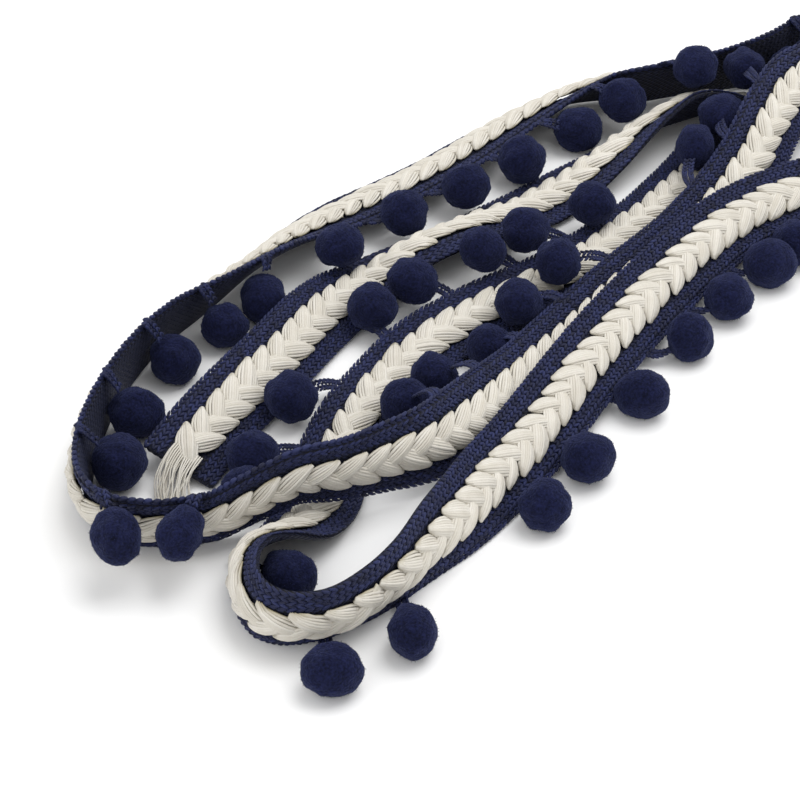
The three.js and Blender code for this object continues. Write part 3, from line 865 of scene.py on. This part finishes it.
# Stalks: two chains side by side, looped out of the edging to each pompom
stalk = {
    "apart": 0.0011,  # each chain from the middle of the stalk
    "narrow": 0.65,
    "long": 0.00120,
    "wide": 0.00045,
    "thick": 0.00050,
    "pitch": 0.0015,
    "lean": 26,
    "bend": 0.004,
    "bendShare": 0.35,
    "into": 0.6,  # the chains end this share of a radius from the pompom's middle
    "lowBend": 0.0012,
    "lowest": 0.0009,
}


def stalks():
    bm = bmesh.new()
    for one in poms:
        root, centre, out = Vector(one["root"]), Vector(one["centre"]), Vector(one["outward"])
        reach = (centre - root).length
        bend = root + out * min(stalk["bend"], stalk["bendShare"] * reach)
        bend.z = max(bend.z, stalk["lowBend"])
        free = stalk["into"] * pompom["radius"]
        count = max(3, round((reach - free) / stalk["pitch"]))
        for i in range(count):
            k = (i + 0.3) / count * (1 - free / reach)
            point = root.lerp(bend, k).lerp(bend.lerp(centre, k), k)
            along = (root.lerp(bend, k) - bend.lerp(centre, k)).normalized() * -1
            side = Vector(one["ahead"]) - along * along.dot(Vector(one["ahead"]))
            side = side.normalized() if side.length > 0.2 else along.orthogonal().normalized()
            over = along.cross(side)
            for chain in (-1, 1):
                apart = stalk["apart"] * (1 - (1 - stalk["narrow"]) * k) * chain
                for lean in (-1, 1):
                    middle = point + side * (apart + lean * stalk["wide"] * 0.8)
                    middle.z = max(middle.z, stalk["lowest"])
                    turn = Matrix((along, side, over)).transposed().to_4x4()
                    turn = turn @ Matrix.Rotation(math.radians(stalk["lean"]) * lean, 4, "Z")
                    shape = Matrix.Diagonal((stalk["long"], stalk["wide"], stalk["thick"], 1))
                    bmesh.ops.create_icosphere(bm, subdivisions=1, radius=1,
                                               matrix=Matrix.Translation(middle) @ turn @ shape)
    obj = finished("pompomStalks", bm)
    tones(obj.data, lobePoints)
    place(obj.data, coordinates(obj.data))
    return obj


dress(stalks(), navyYarn, "navy_pompom")

# Floor, light and camera
studio = {"floor": 6.0, "floorColour": (0.93, 0.93, 0.93), "world": 0.85, "key": 9.0, "keySize": 0.9,
          "keyPlace": (0.35, 0.15, 1.2), "fill": 3.0, "fillSize": 1.2, "fillPlace": (-0.7, -0.9, 0.9)}


def floorSheet():
    bm = bmesh.new()
    bmesh.ops.create_grid(bm, x_segments=1, y_segments=1, size=studio["floor"] / 2)
    obj = finished("floor", bm)
    made = bpy.data.materials.new("paleFloor")
    made.use_nodes = True
    made.node_tree.nodes["Principled BSDF"].inputs["Base Color"].default_value = (*studio["floorColour"], 1)
    made.node_tree.nodes["Principled BSDF"].inputs["Roughness"].default_value = 0.9
    obj.data.materials.append(made)
    return obj


def areaLight(name, power, size, where):
    light = bpy.data.lights.new(name, "AREA")
    light.energy = power
    light.size = size
    obj = bpy.data.objects.new(name, light)
    bpy.context.scene.collection.objects.link(obj)
    obj.location = where
    obj.rotation_euler = (-Vector(where)).to_track_quat("-Z", "Y").to_euler()


floorSheet()
areaLight("keyLight", studio["key"], studio["keySize"], studio["keyPlace"])
areaLight("fillLight", studio["fill"], studio["fillSize"], studio["fillPlace"])
world = bpy.data.worlds.new("softRoom")
world.use_nodes = True
world.node_tree.nodes["Background"].inputs["Color"].default_value = (1, 1, 1, 1)
world.node_tree.nodes["Background"].inputs["Strength"].default_value = studio["world"]
bpy.context.scene.world = world
bpy.context.scene.view_settings.view_transform = "Standard"

eye = bpy.data.objects.new("camera", bpy.data.cameras.new("camera"))
bpy.context.scene.collection.objects.link(eye)
eye.data.lens = camera["lens"]
eye.data.sensor_width = camera["sensor"]
tip = math.radians(camera["elevation"])
back = Vector((0, -math.cos(tip), math.sin(tip)))
eye.location = Vector(camera["target"]) + back * camera["distance"]
eye.rotation_euler = back.to_track_quat("Z", "Y").to_euler()
eye.data.clip_start, eye.data.clip_end = 0.05, 20
bpy.context.scene.camera = eye
print("stage set")
